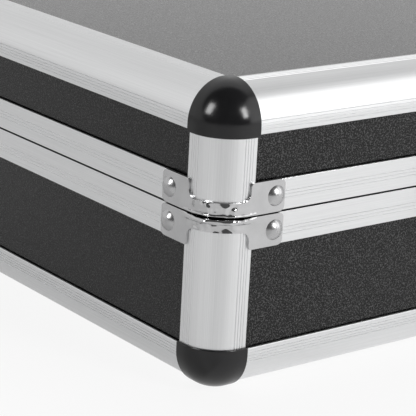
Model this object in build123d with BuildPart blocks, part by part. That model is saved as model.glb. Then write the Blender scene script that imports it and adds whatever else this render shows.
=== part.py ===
from build123d import *
import os
from math import asin, cos, degrees

os.makedirs("parts", exist_ok=True)

# Case over the edge profiles
case_width = 460.0
case_depth = 330.0
base_height = 78.8
lid_height = 54.2

# Aluminium edge profiles and corner posts
profile_leg = 20.0
profile_wall = 1.2
profile_radius = 17.0
groove_first = 1.95
groove_pitch = 1.3
groove_count = 4
groove_width = 0.5
groove_depth = 0.3

# Laminated panels held in the channels of the profiles
panel_thickness = 4.0
panel_slack = 0.3
panel_capture = 4.5
seat_gap = 0.3

# Tongue and groove rims along the parting line
seam_gap = 0.7
base_rim_height = 14.16
lid_rim_height = 13.94
rim_crown = 1.2
rim_bead_width = 0.9
rim_bead_pitch = 2.3
rim_bead_count = 3
rim_bead_depth = 0.3
base_bead_first = 6.85
lid_bead_first = 5.25
tongue_width = 1.2
tongue_height = 2.5
tongue_depth = 2.9
tongue_gap = 0.5
groove_roof = 1.2

# Ball corners
ball_proud = 0.9
ball_wall = 2.1
ball_cover = 0.8
ball_fit = 0.05

# Pressed steel corner plates beside the parting line
plate_thickness = 1.0
plate_fit = 0.1
plate_reach = 35.2
plate_height = 14.0
plate_notch = 17.3
plate_band = 6.0
plate_corner_radius = 3.2
plate_notch_radius = 4.0
plate_rivet_along = 30.6
plate_rivet_level = 7.4
base_lip_out = 1.5
lid_lip_out = 0.7
base_lip_height = 2.6
lid_lip_height = 1.1
lip_rounding = 0.45
lip_end = 22.0
lip_taper = 4.5

# Rivets
rivet_fit = 0.05
dome_radius = 4.5
dome_height = 2.2
dome_shank = 2.0
flat_radius = 3.0
flat_height = 1.3
flat_shank = 1.6
shank_tail = 0.2

# Rear hinges
hinge_spacing = 260.0
hinge_width = 50.0
hinge_out = 4.0
knuckle_radius = 3.2
knuckle_count = 5
knuckle_gap = 0.3
hinge_pin_radius = 1.5
leaf_thickness = 1.2
leaf_height = 13.0
leaf_relief = 3.7
leaf_rivet_spacing = 34.0
leaf_rivet_level = 8.4
leaf_corner_radius = 2.5
running_fit = 0.05

# Hasp latches with a lock housing on the base
latch_spacing = 180.0
latch_width = 38.0
keeper_low = 1.0
keeper_high = 13.4
sheet_thickness = 1.2
pivot_out = 5.2
pivot_level = 9.0
hasp_width = 18.0
hasp_thickness = 1.6
hasp_back = 4.6
hasp_low = 17.5
hasp_lip_out = 8.2
hasp_lip_drop = 2.4
barrel_radius = 2.5
latch_pin_radius = 1.25
ear_thickness = 2.0
ear_radius = 3.2
ear_gap = 0.4
latch_rivet_inset = 3.6
housing_width = 24.0
housing_depth = 8.6
housing_top = 1.2
housing_low = 30.0
housing_wall = 1.2
housing_floor = 4.2
recess_low = 20.3
nib_width = 7.0
nib_level = 11.0
nib_height = 4.0
nib_depth = 0.8
nib_gap = 0.7
notch_width = 2.0
bolt_gap = 0.3
bolt_height = 1.2
bolt_near = 1.5
bolt_far = 2.6
bar_width = 2.0
bar_offset = 6.0
stem_height = 3.0
stem_width = 3.0
button_level = 25.0
button_travel = 2.5
button_width = 7.0
button_height = 6.0
button_gap = 0.2
button_proud = 1.6
slide_gap = 0.3
plug_offset = 6.5
plug_radius = 3.4
plug_back = 3.4
plug_proud = 0.3
boss_radius = 5.0
boss_back = 4.4
key_slot_length = 4.2
key_slot_width = 0.9
key_slot_depth = 2.5

# Drop handle on the front of the base
handle_latch_gap = 4.0
handle_pivot_out = 5.5
handle_pivot_drop = 24.0
handle_eye_radius = 5.0
handle_arm_width = 9.4
handle_drop = 25.5
grip_thickness = 11.0
grip_height = 15.0
grip_overhang = 5.5
grip_rounding = 4.5
bracket_width = 30.0
bracket_height = 15.0
bracket_thickness = 1.6
bracket_ear = 2.0
bracket_ear_gap = 0.4
bracket_rivet_reach = 11.0
handle_pin_radius = 2.5

# Foam
foam_side_gap = 1.8
sheet_side_gap = 0.3
foam_sheet_thickness = 4.0
foam_below_seam = 6.0
lid_foam_above_seam = 5.0
pocket_count = 6
pocket_pitch = 68.0
pocket_length = 174.0
pocket_head_radius = 28.0
pocket_neck_width = 42.0
pocket_tail_width = 28.0
pocket_head_depth = 54.0
pocket_tail_depth = 42.0
pocket_margin = 12.0
tray_width = 410.0
tray_depth = 92.0
tray_deep = 50.0
tray_radius = 8.0

# Levels and faces that follow from the sizes above
front_out = handle_pivot_out + grip_thickness / 2
back_out = hinge_out + knuckle_radius
case_y = (front_out - back_out) / 2
front_y = case_y - case_depth / 2
back_y = case_y + case_depth / 2
bottom_level = ball_proud
seam_level = bottom_level + base_height
top_level = seam_level + lid_height
half_seam = seam_gap / 2
panel_face = profile_wall + panel_slack
channel_back = panel_face + panel_thickness
inner_face = channel_back + profile_wall
panel_inset = profile_leg - panel_capture
handle_spacing = latch_spacing - latch_width - bracket_width - 2 * handle_latch_gap
base_channel_end = half_seam + rim_crown
lid_channel_end = half_seam + tongue_height + tongue_gap + groove_roof

front_face = Plane(origin=(0, front_y, seam_level), x_dir=(1, 0, 0), z_dir=(0, -1, 0))
back_face = Plane(origin=(0, back_y, seam_level), x_dir=(-1, 0, 0), z_dir=(0, 1, 0))
left_right = Plane.YZ
front_back = Plane.XZ.offset(-case_y)

corner_to_min = (Align.MIN, Align.MIN)

# Each side by its inward direction, its length and its distance from the middle
sides = {
    "front": (Vector(0, 1, 0), case_width, case_depth / 2),
    "back": (Vector(0, -1, 0), case_width, case_depth / 2),
    "left": (Vector(1, 0, 0), case_depth, case_width / 2),
    "right": (Vector(-1, 0, 0), case_depth, case_width / 2),
}


def save(piece, name):
    piece.part.label = name
    export_step(piece.part, f"parts/{name}.step")


def run_plane(side, level, rise, run):
    """Section plane of a straight run: local x into the case, local y up or down."""
    inward, span, reach = sides[side]
    along = inward.cross(Vector(0, 0, rise))
    middle = Vector(0, case_y, level) - inward * reach
    return Plane(origin=middle - along * (run / 2), x_dir=inward, z_dir=along)


def spot(side, along, level, out):
    """Place on a side of the case with its axis pointing outward."""
    inward, span, reach = sides[side]
    sideways = Vector(abs(inward.Y), abs(inward.X), 0)
    point = Vector(0, case_y, level) + sideways * along - inward * (reach + out)
    return Plane(origin=point, x_dir=sideways, z_dir=inward * -1).location


def front_section(x):
    """Section plane across the front: local x outward, local y up from the seam."""
    return Plane(origin=(x, front_y, seam_level), x_dir=(0, -1, 0), z_dir=(-1, 0, 0))


def back_section(x):
    """Section plane across the back: local x outward, local y up from the seam."""
    return Plane(origin=(x, back_y, seam_level), x_dir=(0, 1, 0), z_dir=(1, 0, 0))


def corner_area(depth, reach):
    """Quarter of the case's plan near a corner, set in by a depth and rounded."""
    with BuildSketch() as area:
        with Locations((depth, depth)):
            Rectangle(reach - depth, reach - depth, align=corner_to_min)
        nearest = area.vertices().sort_by(lambda v: v.X + v.Y)[0]
        fillet(nearest, profile_radius - depth)
    return area.sketch


def profile_section():
    """Edge profile: rounded skin, two panel channels and fine grooves on both legs."""
    web_inset = panel_inset - seat_gap - profile_wall
    with BuildSketch() as section:
        add(corner_area(0, profile_leg))
        add(corner_area(profile_wall, profile_leg), mode=Mode.SUBTRACT)
        with Locations((channel_back, web_inset)):
            Rectangle(profile_wall, profile_leg - web_inset, align=corner_to_min)
        with Locations((web_inset, channel_back)):
            Rectangle(profile_leg - web_inset, profile_wall, align=corner_to_min)
        with Locations((profile_wall, web_inset)):
            Rectangle(channel_back, profile_wall, align=corner_to_min)
        with Locations((web_inset, profile_wall)):
            Rectangle(profile_wall, channel_back, align=corner_to_min)
        for index in range(groove_count):
            height = profile_leg - groove_first - index * groove_pitch
            turn = asin(max(0, profile_radius - height) / profile_radius)
            inset = profile_radius * (1 - cos(turn))
            with Locations(Location((inset, height), degrees(turn))):
                Rectangle(2 * groove_depth, groove_width, mode=Mode.SUBTRACT)
            with Locations(Location((height, inset), 90 - degrees(turn))):
                Rectangle(2 * groove_depth, groove_width, mode=Mode.SUBTRACT)
    return section.sketch


def rim_section(rim_height, bead_first, has_tongue):
    """Rim beside the seam: local y runs from the seam away from it."""
    with BuildSketch() as section:
        with Locations((0, half_seam)):
            Rectangle(profile_wall, rim_height - half_seam, align=corner_to_min)
            Rectangle(inner_face, rim_crown, align=corner_to_min)
        with Locations((channel_back, half_seam)):
            Rectangle(profile_wall, rim_height - half_seam, align=corner_to_min)
        if has_tongue:
            with Locations((tongue_depth, -tongue_height)):
                Rectangle(tongue_width, tongue_height + half_seam, align=corner_to_min)
        else:
            with Locations((0, half_seam)):
                Rectangle(inner_face, lid_channel_end - half_seam, align=corner_to_min)
            with Locations((tongue_depth - tongue_gap, 0)):
                slot = tongue_height + tongue_gap + half_seam
                Rectangle(tongue_width + 2 * tongue_gap, slot, align=corner_to_min, mode=Mode.SUBTRACT)
        for index in range(rim_bead_count):
            with Locations((0, bead_first + index * rim_bead_pitch)):
                Rectangle(2 * rim_bead_depth, rim_bead_width, mode=Mode.SUBTRACT)
    return section.sketch


def rivet(head_radius, head_height, shank_radius, grip):
    """Domed rivet standing on its seat with its shank below."""
    with BuildPart() as piece:
        with BuildSketch(Plane.XZ):
            with BuildLine():
                Polyline((0, head_height), (0, -grip), (shank_radius, -grip), (shank_radius, 0), (head_radius, 0))
                rise = (head_radius**2 + head_height**2) / (2 * head_height)
                RadiusArc((head_radius, 0), (0, head_height), -rise)
            make_face()
        revolve(axis=Axis.Z)
    return piece.part


profile = profile_section()
halves = {
    "base": (bottom_level, 1, base_height, base_rim_height, base_bead_first, base_channel_end, True),
    "lid": (top_level, -1, lid_height, lid_rim_height, lid_bead_first, lid_channel_end, False),
}

# Rivet places on the rims: plan position along each side, for the corner plates and fittings
latch_places = [-latch_spacing / 2, latch_spacing / 2]
hinge_places = [-hinge_spacing / 2, hinge_spacing / 2]
handle_places = [-handle_spacing / 2, handle_spacing / 2]
bracket_rivets = [x + s * bracket_rivet_reach for x in handle_places for s in (-1, 1)]
bracket_out = bracket_thickness - panel_face
bracket_spots = [spot("front", x, seam_level - handle_pivot_drop, bracket_out) for x in bracket_rivets]
latch_rivet_reach = latch_width / 2 - latch_rivet_inset
latch_rivets = [x + s * latch_rivet_reach for x in latch_places for s in (-1, 1)]
hinge_rivets = [x + s * leaf_rivet_spacing / 2 for x in hinge_places for s in (-1, 1)]

for half, (outer, rise, height, rim_height, bead_first, channel_end, has_tongue) in halves.items():
    away = -rise
    plate_level = seam_level + away * plate_rivet_level
    latch_level = seam_level + away * (keeper_low + keeper_high) / 2
    hinge_level = seam_level + away * leaf_rivet_level
    fitting_spots = [spot("front", x, latch_level, 0) for x in latch_rivets]
    fitting_spots += [spot("back", x, hinge_level, 0) for x in hinge_rivets]
    plate_spots = []
    for side, (inward, span, reach) in sides.items():
        for sign in (-1, 1):
            along = sign * (span / 2 - plate_rivet_along)
            plate_spots.append(spot(side, along, plate_level, 0))
    rim = rim_section(rim_height, bead_first, has_tongue)

    # Edge profile, rim and panel of each side
    for side, (inward, span, reach) in sides.items():
        run = span - 2 * profile_leg
        with BuildPart() as edge:
            with BuildSketch(run_plane(side, outer, rise, run)):
                add(profile)
            extrude(amount=run)
        save(edge, f"{half}_{side}_edge")

        with BuildPart() as rim_piece:
            with BuildSketch(run_plane(side, seam_level, away, run)):
                add(rim)
            extrude(amount=run)
            for place in plate_spots:
                with Locations(place):
                    Cylinder(dome_shank + rivet_fit, 2 * panel_face, mode=Mode.SUBTRACT)
            for place in fitting_spots:
                with Locations(place):
                    Cylinder(flat_shank + rivet_fit, 2 * panel_face, mode=Mode.SUBTRACT)
        save(rim_piece, f"{half}_{side}_rim")

        panel_run = span - 2 * panel_inset
        with BuildPart() as panel:
            with BuildSketch(run_plane(side, outer, rise, panel_run)):
                with Locations((panel_face, panel_inset)):
                    Rectangle(panel_thickness, height - panel_inset - channel_end - seat_gap, align=corner_to_min)
            extrude(amount=panel_run)
            if side == "front" and half == "base":
                for place in bracket_spots:
                    with Locations(place):
                        Cylinder(flat_shank + rivet_fit, 3 * channel_back, mode=Mode.SUBTRACT)
        save(panel, f"{half}_{side}_panel")

    # Flat panel closing the top or the bottom
    with BuildPart() as flat_panel:
        with BuildSketch(Plane.XY.offset(outer + rise * panel_face)):
            with Locations((0, case_y)):
                Rectangle(case_width - 2 * panel_inset, case_depth - 2 * panel_inset)
        extrude(amount=rise * panel_thickness)
    save(flat_panel, "base_bottom_panel" if half == "base" else "lid_top_panel")

    # Corner posts between the ball corners and the seam
    corner_x = -case_width / 2
    corner_y = front_y
    post_start = outer + rise * profile_leg
    with BuildPart() as posts:
        with BuildSketch(Plane(origin=(corner_x, corner_y, post_start), x_dir=(1, 0, 0), z_dir=(0, 0, 1))):
            add(profile)
        extrude(amount=rise * (height - profile_leg - half_seam))
        mirror(about=left_right)
        mirror(about=front_back)
    save(posts, f"{half}_corner_posts")

    # Ball corners: a hollow rounded cap with a thin lip over the profile ends
    lip_edge = profile_leg + ball_cover
    with BuildPart() as cavity:
        with Locations((corner_x + ball_wall - ball_proud, corner_y + ball_wall - ball_proud, 0)):
            Box(profile_leg, profile_leg, profile_leg, align=(Align.MIN, Align.MIN, Align.MIN))
        near = cavity.vertices().sort_by(lambda v: v.X + v.Y + v.Z)[0]
        fillet(cavity.edges().filter_by(lambda e: near in e.vertices()), profile_radius + ball_proud - ball_wall)
    with BuildPart() as balls:
        with Locations((corner_x - ball_proud, corner_y - ball_proud, -ball_proud)):
            cap = lip_edge + ball_proud
            Box(cap, cap, cap, align=(Align.MIN, Align.MIN, Align.MIN))
        near = balls.vertices().sort_by(lambda v: v.X + v.Y + v.Z)[0]
        fillet(balls.edges().filter_by(lambda e: near in e.vertices()), profile_radius + ball_proud)
        add(cavity.part.moved(Location((0, 0, ball_wall - ball_proud))), mode=Mode.SUBTRACT)
        rod = corner_area(-ball_fit, 2 * profile_leg)
        with BuildSketch(Plane(origin=(corner_x, corner_y, profile_leg), x_dir=(1, 0, 0), z_dir=(0, 0, 1))):
            add(rod)
        extrude(amount=profile_leg, mode=Mode.SUBTRACT)
        with BuildSketch(Plane(origin=(corner_x + profile_leg, corner_y, 0), x_dir=(0, 1, 0), z_dir=(1, 0, 0))):
            add(rod)
        extrude(amount=profile_leg, mode=Mode.SUBTRACT)
        with BuildSketch(Plane(origin=(corner_x, corner_y + profile_leg, 0), x_dir=(0, 0, 1), z_dir=(0, 1, 0))):
            add(rod)
        extrude(amount=profile_leg, mode=Mode.SUBTRACT)
        mirror(about=left_right)
        mirror(about=front_back)
    if rise < 0:
        balls.part = balls.part.mirror(Plane.XY)
    balls.part = balls.part.moved(Location((0, 0, outer)))
    save(balls, f"{half}_ball_corners")

    # Corner plates: a wing on each side, a low band round the post and a flared lip
    lip_out, lip_height = (base_lip_out, base_lip_height) if half == "base" else (lid_lip_out, lid_lip_height)
    outside = plate_fit + plate_thickness
    plate_start = seam_level + away * half_seam
    with BuildSketch() as notch_outline:
        with Locations((plate_notch, plate_band)):
            Rectangle(2 * plate_notch, plate_height, align=(Align.MAX, Align.MIN))
        fillet(notch_outline.vertices().sort_by(lambda v: v.X - v.Y)[-1], plate_notch_radius)
    with BuildPart() as notch:
        with BuildSketch(Plane(origin=(corner_x, corner_y, plate_start), x_dir=(1, 0, 0), z_dir=(0, -away, 0))):
            add(notch_outline.sketch)
        extrude(amount=2 * plate_notch, both=True)
        with BuildSketch(Plane(origin=(corner_x, corner_y, plate_start), x_dir=(0, 1, 0), z_dir=(away, 0, 0))):
            add(notch_outline.sketch)
        extrude(amount=2 * plate_notch, both=True, mode=Mode.INTERSECT)
    with BuildPart() as plates:
        with BuildSketch(Plane(origin=(corner_x, corner_y, plate_start), x_dir=(1, 0, 0), z_dir=(0, 0, 1))):
            add(corner_area(-outside, plate_reach))
            add(corner_area(-plate_fit, plate_reach), mode=Mode.SUBTRACT)
        extrude(amount=away * plate_height)
        add(notch.part, mode=Mode.SUBTRACT)
        for axis in (Axis.X, Axis.Y):
            across = plates.edges().filter_by(axis).filter_by(lambda e: e.length < 2 * plate_thickness)
            fillet(across.group_by(Axis.Z)[0 if away < 0 else -1], plate_corner_radius)
        with BuildPart(mode=Mode.PRIVATE) as lip:
            with BuildSketch(Plane(origin=(corner_x, corner_y, plate_start), x_dir=(1, 0, 0), z_dir=(0, 0, 1))):
                lip_far = -outside - lip_out
                with BuildLine():
                    Polyline((lip_end - lip_taper, lip_far), (lip_end, -outside), (lip_end, -plate_fit))
                    Polyline((lip_end, -plate_fit), (profile_radius, -plate_fit))
                    RadiusArc((profile_radius, -plate_fit), (-plate_fit, profile_radius), profile_radius + plate_fit)
                    Polyline((-plate_fit, profile_radius), (-plate_fit, lip_end), (-outside, lip_end))
                    Polyline((-outside, lip_end), (lip_far, lip_end - lip_taper), (lip_far, profile_radius))
                    RadiusArc((lip_far, profile_radius), (profile_radius, lip_far), -profile_radius + lip_far)
                    Line((profile_radius, lip_far), (lip_end - lip_taper, lip_far))
                make_face()
            extrude(amount=away * lip_height)
            level_edges = lip.edges().filter_by(Plane.XY)
            tips = level_edges.filter_by(lambda e: min((e @ 0.5).X - corner_x, (e @ 0.5).Y - corner_y) < -outside)
            round_edges = level_edges.filter_by(GeomType.CIRCLE).sort_by(lambda e: e.radius)[-2:]
            fillet(tips + round_edges, lip_rounding * lip_height)
        add(lip.part)
        for place in (spot("front", corner_x + plate_rivet_along, plate_level, outside),
                      spot("left", corner_y - case_y + plate_rivet_along, plate_level, outside)):
            with Locations(place):
                Cylinder(dome_shank + rivet_fit, 2 * outside, mode=Mode.SUBTRACT)
        mirror(about=left_right)
        mirror(about=front_back)
    save(plates, f"{half}_corner_plates")

    with BuildPart() as plate_rivets:
        dome = rivet(dome_radius, dome_height, dome_shank, outside + profile_wall + shank_tail)
        for side, (inward, span, reach) in sides.items():
            for sign in (-1, 1):
                along = sign * (span / 2 - plate_rivet_along)
                with Locations(spot(side, along, plate_level, outside)):
                    add(dome)
    save(plate_rivets, f"{half}_plate_rivets")

    # Hinge leaves with alternating knuckles; the base has the odd ones out
    with BuildPart() as leaves:
        with BuildSketch(back_face):
            with Locations(*[(x, away * (leaf_relief + leaf_height) / 2) for x in hinge_places]):
                Rectangle(hinge_width, leaf_height - leaf_relief)
        extrude(amount=leaf_thickness)
        outer_corners = leaves.edges().filter_by(Axis.Y)
        fillet(outer_corners.group_by(Axis.Z)[0 if away < 0 else -1], leaf_corner_radius)
        knuckle_run = hinge_width / knuckle_count
        for x in hinge_places:
            for index in range(0 if half == "base" else 1, knuckle_count, 2):
                start = x - hinge_width / 2 + index * knuckle_run + knuckle_gap / 2
                with BuildSketch(back_section(start)):
                    with Locations((hinge_out, 0)):
                        Circle(knuckle_radius)
                    with BuildLine():
                        Polyline((0, away * half_seam), (leaf_thickness, away * half_seam),
                                 (hinge_out, away * hinge_pin_radius), (hinge_out, away * knuckle_radius),
                                 (leaf_thickness, away * leaf_relief), (0, away * leaf_relief), close=True)
                    make_face()
                    with Locations((hinge_out, 0)):
                        Circle(hinge_pin_radius + running_fit, mode=Mode.SUBTRACT)
                extrude(amount=knuckle_run - knuckle_gap)
        for x in hinge_rivets:
            with Locations(spot("back", x, hinge_level, leaf_thickness)):
                Cylinder(flat_shank + rivet_fit, 2 * leaf_thickness, mode=Mode.SUBTRACT)
    save(leaves, f"{half}_hinge_leaves")

    with BuildPart() as fitting_rivets:
        stud = rivet(flat_radius, flat_height, flat_shank, leaf_thickness + profile_wall + shank_tail)
        for x in hinge_rivets:
            with Locations(spot("back", x, hinge_level, leaf_thickness)):
                add(stud)
        for x in latch_rivets:
            with Locations(spot("front", x, latch_level, sheet_thickness)):
                add(stud)
        if half == "base":
            bracket_stud = rivet(flat_radius, flat_height, flat_shank, bracket_thickness + panel_thickness)
            for place in bracket_spots:
                with Locations(place):
                    add(bracket_stud)
    save(fitting_rivets, f"{half}_fitting_rivets")

# Hinge pins
with BuildPart() as hinge_pins:
    for x in hinge_places:
        with BuildSketch(back_section(x)):
            with Locations((hinge_out, 0)):
                Circle(hinge_pin_radius)
        extrude(amount=(hinge_width + 2 * knuckle_gap) / 2, both=True)
save(hinge_pins, "hinge_pins")

# Latches: a keeper and hasp on the lid, a lock housing, button and key plug on the base
hands = {-1: "left", 1: "right"}
with BuildPart() as latch_pins:
    for x in latch_places:
        with BuildSketch(front_section(x)):
            with Locations((pivot_out, pivot_level)):
                Circle(latch_pin_radius)
        extrude(amount=hasp_width / 2 + ear_gap + ear_thickness, both=True)
save(latch_pins, "latch_pins")

for hand, name in hands.items():
    middle = hand * latch_spacing / 2
    ear_inner = hasp_width / 2 + ear_gap

    with BuildPart() as keeper:
        with BuildSketch(front_face):
            with Locations((middle, (keeper_low + keeper_high) / 2)):
                RectangleRounded(latch_width, keeper_high - keeper_low, leaf_corner_radius)
        extrude(amount=sheet_thickness)
        for edge_x in (middle - ear_inner - ear_thickness, middle + ear_inner):
            with BuildSketch(front_section(edge_x + ear_thickness)):
                with Locations((pivot_out, pivot_level)):
                    Circle(ear_radius)
                with Locations((0, pivot_level)):
                    Rectangle(pivot_out, 2 * ear_radius, align=(Align.MIN, Align.CENTER))
                with Locations((pivot_out, pivot_level)):
                    Circle(latch_pin_radius + running_fit, mode=Mode.SUBTRACT)
            extrude(amount=ear_thickness)
        for side in (-1, 1):
            level = seam_level + (keeper_low + keeper_high) / 2
            with Locations(spot("front", middle + side * latch_rivet_reach, level, sheet_thickness)):
                Cylinder(flat_shank + rivet_fit, 2 * sheet_thickness, mode=Mode.SUBTRACT)
    save(keeper, f"latch_{name}_keeper")

    # Hasp: rolled barrel, flap, curled finger lip and the nib that the bolt holds
    with BuildPart() as hasp:
        with BuildSketch(front_section(middle)):
            with Locations((pivot_out, pivot_level)):
                Circle(barrel_radius)
            with BuildLine():
                hasp_front = hasp_back + hasp_thickness
                Polyline((hasp_back, pivot_level), (hasp_back, -hasp_low),
                         (hasp_lip_out - hasp_thickness / 2, -hasp_low - hasp_lip_drop),
                         (hasp_lip_out, -hasp_low - hasp_lip_drop / 2),
                         (hasp_front, -hasp_low + hasp_thickness / 2), (hasp_front, pivot_level), close=True)
            make_face()
            with Locations((pivot_out, pivot_level)):
                Circle(latch_pin_radius + running_fit, mode=Mode.SUBTRACT)
        extrude(amount=hasp_width / 2, both=True)
        with BuildSketch(front_face.offset(nib_depth)):
            with Locations((middle, -nib_level)):
                Rectangle(nib_width, nib_height)
        extrude(amount=hasp_back - nib_depth)
        with BuildSketch(front_face.offset(bolt_near - bolt_gap)):
            with Locations((middle + hand * nib_width / 2, -nib_level)):
                Rectangle(2 * notch_width, bolt_height + 2 * bolt_gap)
        extrude(amount=bolt_far - bolt_near + 2 * bolt_gap, mode=Mode.SUBTRACT)
    save(hasp, f"latch_{name}_hasp")

    # Lock housing: die-cast shell, open at the back, with a recess for the hasp
    with BuildPart() as housing:
        body_middle = -(housing_top + housing_low) / 2
        body_height = housing_low - housing_top
        with BuildSketch(front_face):
            with Locations((middle, body_middle)):
                RectangleRounded(housing_width, body_height, leaf_corner_radius)
        extrude(amount=housing_depth)
        front_rim = housing.faces().sort_by(Axis.Y)[0].edges()
        chamfer(front_rim, housing_wall / 2)
        with BuildSketch(front_face.offset(housing_floor)):
            with Locations((middle, -recess_low)):
                Rectangle(hasp_width + 2 * ear_gap, body_height, align=(Align.CENTER, Align.MIN))
        extrude(amount=housing_depth, mode=Mode.SUBTRACT)
        with BuildSketch(front_face):
            with Locations((middle, body_middle)):
                Rectangle(housing_width - 2 * housing_wall, body_height - 2 * housing_wall)
        extrude(amount=housing_floor - housing_wall, mode=Mode.SUBTRACT)
        with BuildSketch(front_face):
            with Locations((middle, -recess_low - housing_wall)):
                lower = housing_low - recess_low - 2 * housing_wall
                Rectangle(housing_width - 2 * housing_wall, lower, align=(Align.CENTER, Align.MAX))
        extrude(amount=housing_depth - housing_wall, mode=Mode.SUBTRACT)
        with BuildSketch(front_face):
            with Locations((middle, -nib_level)):
                Rectangle(nib_width + 2 * ear_gap, nib_height + 2 * nib_gap)
        extrude(amount=housing_depth, mode=Mode.SUBTRACT)
        with BuildSketch(front_face):
            with Locations((middle + hand * (bar_offset + button_travel / 2), -button_level)):
                Rectangle(stem_width + button_travel + 2 * slide_gap, stem_height + 2 * slide_gap)
        extrude(amount=housing_depth, mode=Mode.SUBTRACT)
        with BuildSketch(front_face.offset(boss_back)):
            with Locations((middle - hand * plug_offset, -button_level)):
                Circle(boss_radius - housing_wall / 2)
        extrude(amount=housing_depth - boss_back - housing_wall / 2)
        with BuildSketch(front_face):
            with Locations((middle - hand * plug_offset, -button_level)):
                Circle(plug_radius + running_fit)
        extrude(amount=housing_depth, mode=Mode.SUBTRACT)
        for side in (-1, 1):
            flange_middle = middle + side * (housing_width + latch_width) / 4
            flange_width = (latch_width - housing_width) / 2
            with BuildSketch(front_face):
                with Locations((flange_middle, body_middle)):
                    Rectangle(flange_width, body_height)
            extrude(amount=sheet_thickness)
            with BuildSketch(front_face.offset(-panel_face)):
                with Locations((flange_middle, -housing_low)):
                    foot_height = housing_low - base_rim_height - seat_gap
                    Rectangle(flange_width, foot_height, align=(Align.CENTER, Align.MIN))
            extrude(amount=panel_face)
            level = seam_level - (keeper_low + keeper_high) / 2
            with Locations(spot("front", middle + side * latch_rivet_reach, level, sheet_thickness)):
                Cylinder(flat_shank + rivet_fit, 2 * sheet_thickness, mode=Mode.SUBTRACT)
    save(housing, f"latch_{name}_housing")

    # Release button: pad outside, stem through the wall, bar and bolt behind the floor
    with BuildPart() as button:
        stem_x = middle + hand * bar_offset
        with BuildSketch(front_face.offset(housing_depth + button_gap)):
            with Locations((stem_x, -button_level)):
                RectangleRounded(button_width, button_height, housing_wall)
        extrude(amount=button_proud)
        with BuildSketch(front_face.offset(bolt_near)):
            with Locations((stem_x, -button_level)):
                Rectangle(stem_width, stem_height)
        extrude(amount=housing_depth + button_gap - bolt_near)
        with BuildSketch(front_face.offset(bolt_near)):
            with Locations((stem_x, -button_level)):
                bar_height = button_level - nib_level + bolt_height / 2
                Rectangle(bar_width, bar_height, align=(Align.CENTER, Align.MIN))
            with Locations((stem_x, -nib_level)):
                bolt_reach = bar_offset - nib_width / 2 + notch_width - bolt_gap
                side_align = Align.MAX if hand > 0 else Align.MIN
                Rectangle(bolt_reach, bolt_height, align=(side_align, Align.CENTER))
        extrude(amount=bolt_far - bolt_near)
    save(button, f"latch_{name}_button")

    with BuildPart() as plug:
        with BuildSketch(front_face.offset(plug_back)):
            with Locations((middle - hand * plug_offset, -button_level)):
                Circle(plug_radius)
        extrude(amount=housing_depth + plug_proud - plug_back)
        with BuildSketch(front_face.offset(housing_depth + plug_proud - key_slot_depth)):
            with Locations((middle - hand * plug_offset, -button_level)):
                Rectangle(key_slot_width, key_slot_length)
        extrude(amount=key_slot_depth, mode=Mode.SUBTRACT)
    save(plug, f"latch_{name}_key_plug")

# Drop handle: eyes at the top of two arms, a rounded grip bar below
with BuildPart() as grip:
    bar_level = -handle_pivot_drop - handle_drop
    with BuildSketch(front_section(0)):
        with Locations((handle_pivot_out, bar_level)):
            RectangleRounded(grip_thickness, grip_height, grip_rounding)
    extrude(amount=(handle_spacing + handle_arm_width) / 2, both=True)
    for x in handle_places:
        with BuildSketch(front_section(x)):
            with Locations((handle_pivot_out, -handle_pivot_drop)):
                Circle(handle_eye_radius)
            with Locations((handle_pivot_out, bar_level)):
                Rectangle(2 * handle_eye_radius, handle_drop, align=(Align.CENTER, Align.MIN))
            with Locations((handle_pivot_out, -handle_pivot_drop)):
                Circle(handle_pin_radius + running_fit, mode=Mode.SUBTRACT)
        extrude(amount=handle_arm_width / 2, both=True)
save(grip, "handle_grip")

with BuildPart() as brackets:
    for x in handle_places:
        with BuildSketch(front_face.offset(-panel_face)):
            with Locations((x, -handle_pivot_drop)):
                RectangleRounded(bracket_width, bracket_height, leaf_corner_radius)
        extrude(amount=bracket_thickness)
        for side in (-1, 1):
            ear_middle = x + side * (handle_arm_width / 2 + bracket_ear_gap + bracket_ear / 2)
            with BuildSketch(front_section(ear_middle)):
                with Locations((handle_pivot_out, -handle_pivot_drop)):
                    Circle(handle_eye_radius)
                with Locations((-panel_face, -handle_pivot_drop)):
                    ear_length = panel_face + handle_pivot_out
                    Rectangle(ear_length, 2 * handle_eye_radius, align=(Align.MIN, Align.CENTER))
                with Locations((handle_pivot_out, -handle_pivot_drop)):
                    Circle(handle_pin_radius + running_fit, mode=Mode.SUBTRACT)
            extrude(amount=bracket_ear / 2, both=True)
    for place in bracket_spots:
        with Locations(place):
            Cylinder(flat_shank + rivet_fit, 2 * bracket_thickness, mode=Mode.SUBTRACT)
save(brackets, "handle_brackets")

with BuildPart() as handle_pins:
    for x in handle_places:
        with BuildSketch(front_section(x)):
            with Locations((handle_pivot_out, -handle_pivot_drop)):
                Circle(handle_pin_radius)
        extrude(amount=handle_arm_width / 2 + bracket_ear_gap + bracket_ear, both=True)
save(handle_pins, "handle_pins")

# Foam: a sheet on the bottom panel, the cut insert above it and a block in the lid
sheet_inset = profile_leg + sheet_side_gap
sheet_level = bottom_level + channel_back
with BuildPart() as foam_sheet:
    with BuildSketch(Plane.XY.offset(sheet_level)):
        with Locations((0, case_y)):
            Rectangle(case_width - 2 * sheet_inset, case_depth - 2 * sheet_inset)
    extrude(amount=foam_sheet_thickness)
save(foam_sheet, "base_foam_sheet")

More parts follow.
